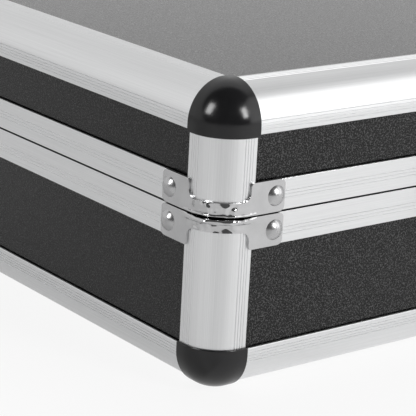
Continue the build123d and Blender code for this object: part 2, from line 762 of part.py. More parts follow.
foam_inset = inner_face + foam_side_gap
foam_width = case_width - 2 * foam_inset
foam_depth = case_depth - 2 * foam_inset
foam_top = seam_level - foam_below_seam
pocket_middle = front_y + foam_inset + pocket_margin + pocket_length / 2
with BuildPart() as foam_insert:
    with BuildSketch(Plane.XY.offset(sheet_level + foam_sheet_thickness)):
        with Locations((0, case_y)):
            Rectangle(foam_width, foam_depth)
    extrude(amount=foam_top - sheet_level - foam_sheet_thickness)
    for index in range(pocket_count):
        x = (index - (pocket_count - 1) / 2) * pocket_pitch
        turn = 1 if index % 2 else -1
        head_y = pocket_middle + turn * (pocket_length / 2 - pocket_head_radius)
        tail_y = pocket_middle - turn * pocket_length / 2
        with BuildSketch(Plane.XY.offset(foam_top)):
            with Locations((x, head_y)):
                Circle(pocket_head_radius)
        extrude(amount=-pocket_head_depth, mode=Mode.SUBTRACT)
        with BuildSketch(Plane.XY.offset(foam_top)):
            with BuildLine():
                Polyline((x - pocket_neck_width / 2, head_y), (x + pocket_neck_width / 2, head_y),
                         (x + pocket_tail_width / 2, tail_y), (x - pocket_tail_width / 2, tail_y), close=True)
            make_face()
        extrude(amount=-pocket_tail_depth, mode=Mode.SUBTRACT)
    tray_middle = back_y - foam_inset - pocket_margin - tray_depth / 2
    with BuildSketch(Plane.XY.offset(foam_top)):
        with Locations((0, tray_middle)):
            RectangleRounded(tray_width, tray_depth, tray_radius)
    extrude(amount=-tray_deep, mode=Mode.SUBTRACT)
save(foam_insert, "base_foam_insert")

lid_foam_low = seam_level + lid_foam_above_seam
with BuildPart() as lid_foam:
    with BuildSketch(Plane.XY.offset(lid_foam_low)):
        with Locations((0, case_y)):
            Rectangle(foam_width, foam_depth)
    extrude(amount=top_level - inner_face - seat_gap - lid_foam_low)
save(lid_foam, "lid_foam")
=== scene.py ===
import math

import bmesh
import bpy
from mathutils import Matrix, Vector


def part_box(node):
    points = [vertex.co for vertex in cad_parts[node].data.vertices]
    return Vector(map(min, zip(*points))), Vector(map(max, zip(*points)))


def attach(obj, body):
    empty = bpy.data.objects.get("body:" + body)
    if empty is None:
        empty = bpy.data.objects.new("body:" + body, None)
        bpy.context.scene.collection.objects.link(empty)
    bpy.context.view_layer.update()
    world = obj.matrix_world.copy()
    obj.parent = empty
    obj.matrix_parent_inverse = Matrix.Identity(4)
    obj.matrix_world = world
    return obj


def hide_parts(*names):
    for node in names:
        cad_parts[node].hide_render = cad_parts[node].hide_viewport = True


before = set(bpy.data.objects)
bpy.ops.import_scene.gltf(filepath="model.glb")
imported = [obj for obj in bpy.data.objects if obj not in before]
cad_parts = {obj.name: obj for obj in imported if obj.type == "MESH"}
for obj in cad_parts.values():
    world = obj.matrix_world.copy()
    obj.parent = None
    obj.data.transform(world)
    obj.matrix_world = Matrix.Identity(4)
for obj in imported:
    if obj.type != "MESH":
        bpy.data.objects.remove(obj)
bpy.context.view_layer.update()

# Camera
# It stands off the front left corner, a little above the lid, and looks down at the parting line.
# The place, turn and lens are solved from the straight edges of the case in the photograph.
sensor_width = 36
focal_length = 165.8
camera_place = (-0.69062, -0.74220, 0.31270)
camera_turn = (72.9257, -2.9359, -37.3491)
camera_data = bpy.data.cameras.new("camera")
camera_data.sensor_width = sensor_width
camera_data.lens = focal_length
camera = bpy.data.objects.new("camera", camera_data)
camera.location = camera_place
camera.rotation_euler = [math.radians(angle) for angle in camera_turn]
bpy.context.scene.collection.objects.link(camera)
bpy.context.scene.camera = camera
bpy.context.scene.view_settings.view_transform = "Standard"

# Floor
# A plain pale table that runs out of view. The camera sees it near white, with the soft shadow
# of the case. The metal mirrors it a little darker in front of the corner and to its left.
floor_reach = 6
floor_centre = (-0.23, -0.163, 0)
to_the_front = (-0.619, -0.785, 0)
to_the_left = (-0.616, 0.788, 0)
first_tone = (0.3, 1.0)
between_tones = ((0.5, 1.0), (0.74, 0.96), (0.93, 0.79))
last_tone = (0.99, 0.76)
shown_in_metal = 0.8
shown_white = 0.9


def new_material(name):
    """Starts a material; gives it back with its nodes, its links and its shader."""
    material = bpy.data.materials.new(name)
    material.use_nodes = True
    tree = material.node_tree
    return material, tree.nodes, tree.links, tree.nodes["Principled BSDF"]


def add_node(nodes, kind, values=None, operation=None, data_type=None):
    """Adds a shader node and sets its sockets, by name or by number."""
    node = nodes.new(kind)
    if operation:
        node.operation = operation
    if data_type:
        node.data_type = data_type
    for socket, value in (values or {}).items():
        node.inputs[socket].default_value = value
    return node


floor_mesh = bpy.data.meshes.new("floor")
bm = bmesh.new()
bmesh.ops.create_grid(bm, x_segments=1, y_segments=1, size=floor_reach)
bm.to_mesh(floor_mesh)
bm.free()
floor = bpy.data.objects.new("floor", floor_mesh)
bpy.context.scene.collection.objects.link(floor)

floor_paint, nodes, links, matt = new_material("floor_paint")
matt.inputs["Base Color"].default_value = (0.8, 0.8, 0.8, 1)
matt.inputs["Roughness"].default_value = 0.9
matt.inputs["Specular IOR Level"].default_value = 0
white = nodes.new("ShaderNodeEmission")
seen = nodes.new("ShaderNodeLightPath")
in_metal = add_node(nodes, "ShaderNodeMath", {1: shown_in_metal}, operation="MULTIPLY")
either = add_node(nodes, "ShaderNodeMath", operation="MAXIMUM")
share = add_node(nodes, "ShaderNodeMath", {1: shown_white}, operation="MULTIPLY")
place = nodes.new("ShaderNodeTexCoord")
from_corner = add_node(nodes, "ShaderNodeVectorMath", {1: floor_centre}, operation="SUBTRACT")
bearing = add_node(nodes, "ShaderNodeVectorMath", operation="NORMALIZE")
towards_camera = add_node(
    nodes, "ShaderNodeVectorMath", {1: to_the_front}, operation="DOT_PRODUCT"
)
front_shade = nodes.new("ShaderNodeValToRGB")
bands = front_shade.color_ramp
for band, (place_along, tone) in zip(bands.elements, (first_tone, last_tone)):
    band.position = place_along
    band.color = (tone, tone, tone, 1)
for place_along, tone in between_tones:
    band = bands.elements.new(place_along)
    band.color = (tone, tone, tone, 1)
towards_left = add_node(nodes, "ShaderNodeVectorMath", {1: to_the_left}, operation="DOT_PRODUCT")
left_shade = add_node(
    nodes, "ShaderNodeMapRange", {"From Min": 0.2, "From Max": 0.95, "To Min": 1.0, "To Max": 0.64}
)
left_shade.interpolation_type = "SMOOTHSTEP"
both_shades = add_node(nodes, "ShaderNodeMath", operation="MULTIPLY")
lightness = add_node(nodes, "ShaderNodeMix", {"B": 1.0})
floor_mix = nodes.new("ShaderNodeMixShader")
links.new(place.outputs["Object"], from_corner.inputs[0])
links.new(from_corner.outputs[0], bearing.inputs[0])
links.new(bearing.outputs[0], towards_camera.inputs[0])
links.new(bearing.outputs[0], towards_left.inputs[0])
links.new(towards_camera.outputs["Value"], front_shade.inputs["Fac"])
links.new(towards_left.outputs["Value"], left_shade.inputs["Value"])
links.new(front_shade.outputs["Color"], both_shades.inputs[0])
links.new(left_shade.outputs["Result"], both_shades.inputs[1])
links.new(both_shades.outputs[0], lightness.inputs["A"])
links.new(seen.outputs["Is Camera Ray"], lightness.inputs["Factor"])
links.new(lightness.outputs["Result"], white.inputs["Strength"])
links.new(seen.outputs["Is Camera Ray"], either.inputs[0])
links.new(seen.outputs["Is Glossy Ray"], in_metal.inputs[0])
links.new(in_metal.outputs[0], either.inputs[1])
links.new(either.outputs[0], share.inputs[0])
links.new(share.outputs[0], floor_mix.inputs[0])
links.new(matt.outputs[0], floor_mix.inputs[1])
links.new(white.outputs[0], floor_mix.inputs[2])
links.new(floor_mix.outputs[0], nodes["Material Output"].inputs["Surface"])
floor_mesh.materials.append(floor_paint)

# Light
# A pale studio with an upright softbox off each side of the corner, a broad one on the right and
# one behind. The left one is only mirrored, and the back one only lights. The room is darker
# behind the camera, which gives the round metal and the ball corners a dark middle.
room_strength = 0.9
dark_side = (-0.474, -0.601, 0.643)
lamp_distance = 1.5
world = bpy.data.worlds.new("studio")
bpy.context.scene.world = world
world.use_nodes = True
nodes = world.node_tree.nodes
links = world.node_tree.links
room = nodes["Background"]
room.inputs["Strength"].default_value = room_strength
backdrop = nodes.new("ShaderNodeBackground")
direction = nodes.new("ShaderNodeTexCoord")
behind_camera = add_node(nodes, "ShaderNodeVectorMath", {1: dark_side}, operation="DOT_PRODUCT")
dimming = add_node(
    nodes, "ShaderNodeMapRange", {"From Min": 0.26, "From Max": 0.42, "To Min": 0.96, "To Max": 0.12}
)
dimming.interpolation_type = "SMOOTHSTEP"
seen = nodes.new("ShaderNodeLightPath")
reflected = add_node(nodes, "ShaderNodeMath", operation="MAXIMUM")
shown = add_node(nodes, "ShaderNodeMath", operation="MAXIMUM")
levels = add_node(nodes, "ShaderNodeMix", {"B": 1.0})
world_mix = nodes.new("ShaderNodeMixShader")
links.new(direction.outputs["Generated"], behind_camera.inputs[0])
links.new(behind_camera.outputs["Value"], dimming.inputs["Value"])
links.new(seen.outputs["Is Camera Ray"], levels.inputs["Factor"])
links.new(dimming.outputs["Result"], levels.inputs["A"])
links.new(levels.outputs["Result"], backdrop.inputs["Strength"])
links.new(seen.outputs["Is Glossy Ray"], reflected.inputs[0])
links.new(seen.outputs["Is Transmission Ray"], reflected.inputs[1])
links.new(reflected.outputs[0], shown.inputs[0])
links.new(seen.outputs["Is Camera Ray"], shown.inputs[1])
links.new(shown.outputs[0], world_mix.inputs[0])
links.new(room.outputs[0], world_mix.inputs[1])
links.new(backdrop.outputs[0], world_mix.inputs[2])
links.new(world_mix.outputs[0], nodes["World Output"].inputs["Surface"])

near_corner = Vector((-0.23, -0.163, 0.08))
# Name, turn and rise in degrees, width and height in metres, power in watts
for name, turn, rise, width, height, power in (
    ("left_softbox", 172.4, 33.4, 0.42, 0.66, 11),
    ("right_softbox", -75.5, 28.9, 0.34, 0.62, 11),
    ("right_broad_softbox", -44.0, 26.0, 1.1, 1.3, 5.4),
    ("back_softbox", 52.0, 50.0, 1.2, 1.2, 15),
):
    lamp_data = bpy.data.lights.new(name, "AREA")
    lamp_data.shape = "RECTANGLE"
    lamp_data.size = width
    lamp_data.size_y = height
    lamp_data.energy = power
    lamp = bpy.data.objects.new(name, lamp_data)
    lamp.visible_glossy = name != "back_softbox"
    lamp.visible_diffuse = name != "left_softbox"
    turn, rise = math.radians(turn), math.radians(rise)
    aim = Vector((math.cos(turn) * math.cos(rise), math.sin(turn) * math.cos(rise), math.sin(rise)))
    lamp.location = near_corner + aim * lamp_distance
    lamp.rotation_euler = aim.to_track_quat("Z", "Y").to_euler()
    bpy.context.scene.collection.objects.link(lamp)

# Edge profiles
# Drawn aluminium angle with a large round outer corner and four fine grooves along each leg.
# Two channels inside it grip the boards. It is cut square and runs from ball to ball.
mm = 0.001
case_width = 460 * mm
case_depth = 330 * mm
case_y = 1.9 * mm
seam_level = 79.7 * mm
outer_levels = {"base": (0.9 * mm, 1), "lid": (133.9 * mm, -1)}
side_inward = {
    "front": Vector((0, 1, 0)),
    "back": Vector((0, -1, 0)),
    "left": Vector((1, 0, 0)),
    "right": Vector((-1, 0, 0)),
}
side_span = {"front": case_width, "back": case_width, "left": case_depth, "right": case_depth}
side_reach = {
    "front": case_depth / 2,
    "back": case_depth / 2,
    "left": case_width / 2,
    "right": case_width / 2,
}
leg = 20 * mm
wall = 1.2 * mm
edge_radius = 17 * mm
groove_first = 2.1 * mm
groove_pitch = 1.3 * mm
groove_width = 0.42 * mm
groove_depth = 0.34 * mm
groove_taper = 0.8
groove_count = 4
leg_rounding = 0.35 * mm
leg_segments = 3
# Painted shade in the parting line: the metal is near black up to this share of the reach from the
# seam, and fades out at the reach.
seam_shade_reach = 0.45 * mm
seam_shade_full = 0.9
channel_back = 5.8 * mm
inner_face = 7.0 * mm
channel_start = 14.0 * mm
bend_segments = 24
tolerance = 1e-6
cut_tolerance = 1e-7
end_facing = 0.5
along_x = (1, 0, 0)
along_y = (0, 1, 0)
upwards = (0, 0, 1)


def side_axes(side, level, rise):
    """From a side's own axes to the case: x into the case, y along the side, z away from the level."""
    inward = side_inward[side]
    up = Vector((0, 0, rise))
    along = up.cross(inward)
    axes = Matrix((inward, along, up)).transposed().to_4x4()
    axes.translation = Vector((0, case_y, level)) - inward * side_reach[side]
    return axes


def verts_of(geom):
    return [item for item in geom if isinstance(item, bmesh.types.BMVert)]


def everything(bm):
    return bm.verts[:] + bm.edges[:] + bm.faces[:]


def add_bar(bm, low, high):
    """Adds a straight bar between two opposite corners."""
    bar = bmesh.ops.create_cube(bm, size=1)["verts"]
    bmesh.ops.scale(bm, verts=bar, vec=Vector(high) - Vector(low))
    bmesh.ops.translate(bm, verts=bar, vec=(Vector(low) + Vector(high)) / 2)


def cut_line(bm, axis, place):
    spot = Vector(axis) * place
    bmesh.ops.bisect_plane(bm, geom=everything(bm), dist=cut_tolerance, plane_co=spot, plane_no=axis)


def press_groove(bm, axis, middle, width, depth, near):
    """Cuts a tapered groove along y; near keeps it to the faces of one leg."""
    cut_line(bm, axis, middle - width / 2)
    cut_line(bm, axis, middle + width / 2)
    bm.normal_update()
    strip = []
    for face in bm.faces:
        centre = face.calc_center_median()
        between = abs(centre.dot(Vector(axis)) - middle) < width / 2
        at_end = abs(face.normal.y) > end_facing
        if between and not at_end and near(centre):
            strip.append(face)
    inward = strip[0].normal * -depth
    pressed = verts_of(bmesh.ops.extrude_face_region(bm, geom=strip)["geom"])
    bmesh.ops.delete(bm, geom=strip, context="FACES_KEEP_BOUNDARY")
    bmesh.ops.translate(bm, verts=pressed, vec=inward)
    narrowing = Vector((1, 1, 1)) - Vector(axis) * groove_taper
    bmesh.ops.scale(bm, verts=pressed, vec=narrowing, space=Matrix.Translation(Vector(axis) * -middle))


def face_outwards(bm):
    """Turns the faces of an open skin towards its outer corner, which is low on every axis."""
    bm.normal_update()
    if sum(sum(face.normal) for face in bm.faces) > 0:
        bmesh.ops.reverse_faces(bm, faces=bm.faces[:])


def rounded_skin(run):
    """Outer skin of the profile along y, from its outer corner."""
    bm = bmesh.new()
    corners = [bm.verts.new((x, -run / 2, z)) for x, z in ((leg, 0), (0, 0), (0, leg))]
    section = [bm.edges.new(corners[:2]), bm.edges.new(corners[1:])]
    swept = bmesh.ops.extrude_edge_only(bm, edges=section)["geom"]
    bmesh.ops.translate(bm, verts=verts_of(swept), vec=(0, run, 0))
    ridge = [e for e in bm.edges if all(abs(v.co.x) + abs(v.co.z) < tolerance for v in e.verts)]
    bmesh.ops.bevel(
        bm,
        geom=ridge,
        offset=edge_radius,
        affect="EDGES",
        segments=bend_segments,
        profile=0.5,
        material=-1,
    )
    face_outwards(bm)
    return bm


def profile_mesh(run):
    """Profile with its wall, its grooves and the two channels that hold the boards."""
    bm = rounded_skin(run)
    bmesh.ops.solidify(bm, geom=bm.faces[:], thickness=wall)
    leg_ends = []
    for edge in bm.edges:
        ends = [(max(v.co.x, v.co.z), min(v.co.x, v.co.z)) for v in edge.verts]
        if all(far > leg - tolerance and near < tolerance for far, near in ends):
            leg_ends.append(edge)
    bmesh.ops.bevel(
        bm,
        geom=leg_ends,
        offset=leg_rounding,
        affect="EDGES",
        segments=leg_segments,
        profile=0.5,
        material=-1,
    )
    for index in range(groove_count):
        middle = leg - groove_first - index * groove_pitch
        press_groove(bm, along_x, middle, groove_width, groove_depth, lambda c: c.z < wall / 2)
        press_groove(bm, upwards, middle, groove_width, groove_depth, lambda c: c.x < wall / 2)
    half = run / 2
    add_bar(bm, (channel_back, -half, channel_start), (inner_face, half, leg))
    add_bar(bm, (channel_start, -half, channel_back), (leg, half, inner_face))
    add_bar(bm, (wall / 2, -half, channel_start), (channel_back, half, channel_start + wall))
    add_bar(bm, (channel_start, -half, wall / 2), (channel_start + wall, half, channel_back))
    return bm


def finish_piece(name, bm, material, body, replaced, smooth=30):
    """Writes the mesh as an object at the origin, hangs it on its body and hides the CAD parts it
    replaces.
    Bends of up to smooth degrees are shaded round."""
    mesh = bpy.data.meshes.new(name)
    bm.to_mesh(mesh)
    bm.free()
    mesh.shade_smooth()
    mesh.set_sharp_from_angle(angle=math.radians(smooth))
    mesh.materials.append(material)
    piece = bpy.data.objects.new(name, mesh)
    bpy.context.scene.collection.objects.link(piece)
    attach(piece, body)
    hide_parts(*replaced)
    return piece


def new_group(name, takes):
    """Starts a finish that gives out a colour, a roughness and a height."""
    group = bpy.data.node_groups.new(name, "ShaderNodeTree")
    gives = {"Color": "NodeSocketColor", "Roughness": "NodeSocketFloat", "Height": "NodeSocketFloat"}
    for in_out, sockets in (("INPUT", takes), ("OUTPUT", gives)):
        for socket, kind in sockets.items():
            group.interface.new_socket(name=socket, in_out=in_out, socket_type=kind)
    return group


def drawn_metal_group():
    """Die lines along the run, soft cloudy patches, and painted shade that turns the metal near black
    in the parting line.
    """
    takes = {
        "Vector": "NodeSocketVector",
        "Place": "NodeSocketVector",
        "Color": "NodeSocketColor",
        "Roughness": "NodeSocketFloat",
        "Lines": "NodeSocketFloat",
    }
    group = new_group("drawn_metal", takes)
    nodes = group.nodes
    links = group.links
    source = nodes.new("NodeGroupInput")
    result = nodes.new("NodeGroupOutput")
    lines = add_node(nodes, "ShaderNodeTexNoise", {"Scale": 1, "Detail": 4, "Roughness": 0.65})
    clouds = add_node(nodes, "ShaderNodeTexNoise", {"Scale": 0.035, "Detail": 3})
    shade = add_node(
        nodes, "ShaderNodeMapRange", {"From Min": 0.3, "From Max": 0.7, "To Min": 0.9, "To Max": 1.0}
    )
    tint = add_node(nodes, "ShaderNodeMix", data_type="RGBA")
    tint.blend_type = "MULTIPLY"
    spread = add_node(
        nodes, "ShaderNodeMapRange", {"From Min": 0.3, "From Max": 0.7, "To Min": -0.05, "To Max": 0.05}
    )
    rough = add_node(nodes, "ShaderNodeMath", operation="ADD")
    links.new(source.outputs["Vector"], lines.inputs["Vector"])
    links.new(source.outputs["Vector"], clouds.inputs["Vector"])
    links.new(lines.outputs["Fac"], shade.inputs["Value"])
    links.new(source.outputs["Lines"], tint.inputs["Factor"])
    links.new(source.outputs["Color"], tint.inputs["A"])
    links.new(shade.outputs["Result"], tint.inputs["B"])
    links.new(clouds.outputs["Fac"], spread.inputs["Value"])
    links.new(source.outputs["Roughness"], rough.inputs[0])
    links.new(spread.outputs["Result"], rough.inputs[1])
    place = nodes.new("ShaderNodeSeparateXYZ")
    # Painted shade: close to the parting line the colour goes near black, where the gap between the
    # rims is in shadow.
    above_seam = add_node(nodes, "ShaderNodeMath", {1: seam_level}, operation="SUBTRACT")
    from_seam = add_node(nodes, "ShaderNodeMath", operation="ABSOLUTE")
    clean = add_node(
        nodes, "ShaderNodeMapRange", {"From Min": seam_shade_reach * seam_shade_full, "From Max": seam_shade_reach}
    )
    seam_shade = add_node(nodes, "ShaderNodeMix", {"A": (0.02, 0.02, 0.02, 1)}, data_type="RGBA")
    links.new(source.outputs["Place"], place.inputs[0])
    links.new(place.outputs["Z"], above_seam.inputs[0])
    links.new(above_seam.outputs[0], from_seam.inputs[0])
    links.new(from_seam.outputs[0], clean.inputs["Value"])
    links.new(clean.outputs["Result"], seam_shade.inputs["Factor"])
    links.new(tint.outputs["Result"], seam_shade.inputs["B"])
    links.new(seam_shade.outputs["Result"], result.inputs["Color"])
    links.new(rough.outputs[0], result.inputs["Roughness"])
    links.new(lines.outputs["Fac"], result.inputs["Height"])
    return group


drawn_metal = drawn_metal_group()


def aluminium(name, stretch):
    """Satin anodised aluminium whose die lines run the way the piece was drawn."""
    material, nodes, links, surface = new_material(name)
    surface.inputs["Metallic"].default_value = 1
    place = nodes.new("ShaderNodeTexCoord")
    mapping = add_node(nodes, "ShaderNodeMapping", {"Scale": stretch})
    effect = nodes.new("ShaderNodeGroup")
    effect.node_tree = drawn_metal
    effect.inputs["Color"].default_value = (0.85, 0.855, 0.86, 1)
    effect.inputs["Roughness"].default_value = 0.36
    effect.inputs["Lines"].default_value = 1
    bump = add_node(nodes, "ShaderNodeBump", {"Distance": 0.00002, "Strength": 0.3})
    links.new(place.outputs["Object"], mapping.inputs["Vector"])
    links.new(place.outputs["Object"], effect.inputs["Place"])
    links.new(mapping.outputs["Vector"], effect.inputs["Vector"])
    links.new(effect.outputs["Color"], surface.inputs["Base Color"])
    links.new(effect.outputs["Roughness"], surface.inputs["Roughness"])
    links.new(effect.outputs["Height"], bump.inputs["Height"])
    links.new(bump.outputs["Normal"], surface.inputs["Normal"])
    return material


along_lines = 15
across_lines = 2600
drawn_along_x = aluminium("aluminium_drawn_along_x", (along_lines, across_lines, across_lines))
drawn_along_y = aluminium("aluminium_drawn_along_y", (across_lines, along_lines, across_lines))
drawn_upright = aluminium("aluminium_drawn_upright", (across_lines, across_lines, along_lines))
side_metal = {
    "front": drawn_along_x,
    "back": drawn_along_x,
    "left": drawn_along_y,
    "right": drawn_along_y,
}
groove_shading = 14

for half, (level, rise) in outer_levels.items():
    for side, span in side_span.items():
        bm = profile_mesh(span - 2 * leg)
        bmesh.ops.transform(bm, matrix=side_axes(side, level, rise), verts=bm.verts[:])
        node = f"{half}_{side}_edge"
        metal = side_metal[side]
        finish_piece(
            f"drawn_{node}", bm, metal, half, [node], smooth=groove_shading
        )

# Corner posts
# Short lengths of the same profile that stand upright at the four corners of each half,
# from the ball corner to the parting line.
seam_gap = 0.7 * mm
half_seam = seam_gap / 2
corner_x = -case_width / 2
front_y = case_y - case_depth / 2


def mirrored_corners(bm):
    """Repeats the front left corner's mesh at the other three corners."""
    bmesh.ops.mirror(bm, geom=everything(bm), axis="X", merge_dist=-1)
    to_middle = Matrix.Translation((0, case_y, 0)).inverted()
    bmesh.ops.mirror(bm, geom=everything(bm), matrix=to_middle, axis="Y", merge_dist=-1)
    bmesh.ops.recalc_face_normals(bm, faces=bm.faces[:])


for half, (level, rise) in outer_levels.items():
    height = abs(seam_level - level) - leg - half_seam
    bm = profile_mesh(height)
    middle = level + rise * (leg + height / 2)
    upright = Matrix(((0, 0, 1), (1, 0, 0), (0, 1, 0))).to_4x4()
    upright.translation = (corner_x, front_y, middle)
    bmesh.ops.transform(bm, matrix=upright, verts=bm.verts[:])
    mirrored_corners(bm)
    node = f"{half}_corner_posts"
    finish_piece(
        f"drawn_{node}", bm, drawn_upright, half, [node], smooth=groove_shading
    )

# Rims
# Aluminium tongue and groove profiles along the parting line, with three shallow flutes outside.
# The base's tongue stands in the lid's groove when the case is shut.
flute_width = 0.5 * mm
flute_pitch = 1.45 * mm
flute_depth = 0.3 * mm
flute_count = 3
rim_rounding = 0.12 * mm
# Which way each half lies from the parting line
ways_up = {"base": -1, "lid": 1}
# Height, first flute, outline of the tongue or groove in mm, level of the channel's floor
rims = {
    "base": (14.16 * mm, 7.3 * mm, [(4.1, 0.35), (4.1, -2.5), (2.9, -2.5), (2.9, 0.35)], 1.55 * mm),
    "lid": (13.94 * mm, 5.65 * mm, [(4.6, 0.35), (4.6, 3.35), (2.4, 3.35), (2.4, 0.35)], 4.55 * mm),
}


def soften_edges(piece, width, segments, sharp=30):
    """Rounds the edges that turn by more than the given degrees."""
    soften = piece.modifiers.new("soften", "BEVEL")
    soften.width = width
    soften.segments = segments
    soften.limit_method = "ANGLE"
    soften.angle_limit = math.radians(sharp)


for half, (rim_height, flute_first, joint, crown) in rims.items():
    outline = [(0, half_seam), (0, rim_height), (wall, rim_height), (wall, crown)]
    outline += [(channel_back, crown), (channel_back, rim_height), (inner_face, rim_height)]
    outline += [(inner_face, half_seam)] + [(x * mm, z * mm) for x, z in joint]
    for side, span in side_span.items():
        run = span - 2 * leg
        bm = bmesh.new()
        section = bm.faces.new([bm.verts.new((x, -run / 2, z)) for x, z in outline])
        swept = bmesh.ops.extrude_face_region(bm, geom=[section])["geom"]
        bmesh.ops.translate(bm, verts=verts_of(swept), vec=(0, run, 0))
        bmesh.ops.recalc_face_normals(bm, faces=bm.faces[:])
        for index in range(flute_count):
            middle = flute_first + index * flute_pitch
            press_groove(
                bm, upwards, middle, flute_width, flute_depth, lambda c: abs(c.x) < tolerance
            )
        axes = side_axes(side, seam_level, ways_up[half])
        bmesh.ops.transform(bm, matrix=axes, verts=bm.verts[:])
        node = f"{half}_{side}_rim"
        rim = finish_piece(f"drawn_{node}", bm, side_metal[side], half, [node])
        soften_edges(rim, rim_rounding, segments=2, sharp=60)

# Boards
# Thin plywood faced with black laminate that has a fine pressed leather grain.
# They slide into the channels of the profiles and are not glued.
laminate, nodes, links, surface = new_material("black_laminate")
surface.inputs["IOR"].default_value = 1.2
surface.inputs["Coat Weight"].default_value = 1
surface.inputs["Coat IOR"].default_value = 1.32
surface.inputs["Coat Roughness"].default_value = 0.12
surface.inputs["Sheen Weight"].default_value = 0.3
surface.inputs["Sheen Roughness"].default_value = 0.2
place = nodes.new("ShaderNodeTexCoord")
cells = nodes.new("ShaderNodeTexVoronoi")
cells.feature = "SMOOTH_F1"
cells.inputs["Scale"].default_value = 1700
cells.inputs["Smoothness"].default_value = 0.6
wander = add_node(nodes, "ShaderNodeTexNoise", {"Scale": 1300, "Detail": 5})
pebbles = add_node(nodes, "ShaderNodeMath", {1: 0.8}, operation="MULTIPLY_ADD")
grain_shade = add_node(nodes, "ShaderNodeMapRange", {"From Min": 0.9, "From Max": 1.05})
black = add_node(
    nodes,
    "ShaderNodeMix",
    {"A": (0.001, 0.001, 0.0012, 1), "B": (0.12, 0.12, 0.121, 1)},
    data_type="RGBA",
)
gloss = add_node(
    nodes, "ShaderNodeMapRange", {"From Min": 0.55, "From Max": 1.15, "To Min": 0.6, "To Max": 0.42}
)
bump = add_node(nodes, "ShaderNodeBump", {"Distance": 0.0025, "Strength": 1})
links.new(place.outputs["Object"], cells.inputs["Vector"])
links.new(place.outputs["Object"], wander.inputs["Vector"])
links.new(cells.outputs["Distance"], pebbles.inputs[0])
links.new(wander.outputs["Fac"], pebbles.inputs[2])
links.new(pebbles.outputs[0], grain_shade.inputs["Value"])
links.new(pebbles.outputs[0], gloss.inputs["Value"])
links.new(grain_shade.outputs["Result"], black.inputs["Factor"])
links.new(black.outputs["Result"], surface.inputs["Base Color"])
links.new(gloss.outputs["Result"], surface.inputs["Roughness"])
links.new(pebbles.outputs[0], bump.inputs["Height"])
links.new(bump.outputs["Normal"], surface.inputs["Normal"])

border_gap = 0.5 * mm
border_depth = 1.6 * mm
board_rounding = 0.2 * mm
facing_out = -0.9


def trimmed_board(node, inward, window):
    """Board whose laminated face stands proud of the trimmed border that goes into the frame."""
    low, high = (Vector(corner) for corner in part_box(node))
    for axis in range(3):
        if inward[axis] > 0:
            low[axis] += border_depth
        if inward[axis] < 0:
            high[axis] -= border_depth
    bm = bmesh.new()
    add_bar(bm, low, high)
    for axis, (start, end) in window.items():
        direction = [int(axis == index) for index in range(3)]
        cut_line(bm, direction, start + border_gap)
        cut_line(bm, direction, end - border_gap)
    bm.normal_update()
    field = []
    for face in bm.faces:
        centre = face.calc_center_median()
        inside = all(start < centre[axis] < end for axis, (start, end) in window.items())
        if inside and face.normal.dot(inward) < facing_out:
            field.append(face)
    raised = bmesh.ops.extrude_face_region(bm, geom=field)["geom"]
    bmesh.ops.delete(bm, geom=field, context="FACES_KEEP_BOUNDARY")
    bmesh.ops.translate(bm, verts=verts_of(raised), vec=-inward * border_depth)
    return bm


def add_board(node, half, inward, window):
    bm = trimmed_board(node, inward, window)
    board = finish_piece(f"laminated_{node}", bm, laminate, half, [node])
    soften_edges(board, board_rounding, segments=2)


wide_window = (-case_width / 2 + leg, case_width / 2 - leg)
deep_window = (case_y - case_depth / 2 + leg, case_y + case_depth / 2 - leg)
for half, (level, rise) in outer_levels.items():
    rim_height = rims[half][0]
    upright_window = sorted((level + rise * leg, seam_level - rise * rim_height))
    for side, inward in side_inward.items():
        window = {2: upright_window}
        if side in ("front", "back"):
            window[0] = wide_window
        else:
            window[1] = deep_window
        add_board(f"{half}_{side}_panel", half, inward, window)
add_board("base_bottom_panel", "base", Vector((0, 0, 1)), {0: wide_window, 1: deep_window})
add_board("lid_top_panel", "lid", Vector((0, 0, -1)), {0: wide_window, 1: deep_window})

# Ball corners
# Moulded black plastic caps with a high gloss, pushed over the three profile ends.
# A thin round lip covers the cut ends; inside they are hollow.
ball_proud = 0.9 * mm
ball_cover = 0.8 * mm
ball_wall = 0.85 * mm
ball_rounding = 0.35 * mm
ball_segments = 20
gloss_black, nodes, links, surface = new_material("gloss_black_plastic")
surface.inputs["IOR"].default_value = 1.47
place = nodes.new("ShaderNodeTexCoord")
haze = add_node(nodes, "ShaderNodeTexNoise", {"Scale": 140, "Detail": 6})
haze_tone = add_node(
    nodes, "ShaderNodeMapRange", {"From Min": 0.35, "From Max": 0.75, "To Min": 0.16, "To Max": 0.26}
)
pigment = add_node(
    nodes,
    "ShaderNodeMix",
    {"A": (0.008, 0.008, 0.009, 1), "B": (0.014, 0.014, 0.015, 1)},
    data_type="RGBA",
)
ripple = add_node(nodes, "ShaderNodeBump", {"Distance": 0.00003, "Strength": 0.15})
links.new(place.outputs["Object"], haze.inputs["Vector"])
links.new(haze.outputs["Fac"], haze_tone.inputs["Value"])
links.new(haze.outputs["Fac"], pigment.inputs["Factor"])
links.new(haze.outputs["Fac"], ripple.inputs["Height"])
links.new(haze_tone.outputs["Result"], surface.inputs["Roughness"])
links.new(pigment.outputs["Result"], surface.inputs["Base Color"])
links.new(ripple.outputs["Normal"], surface.inputs["Normal"])

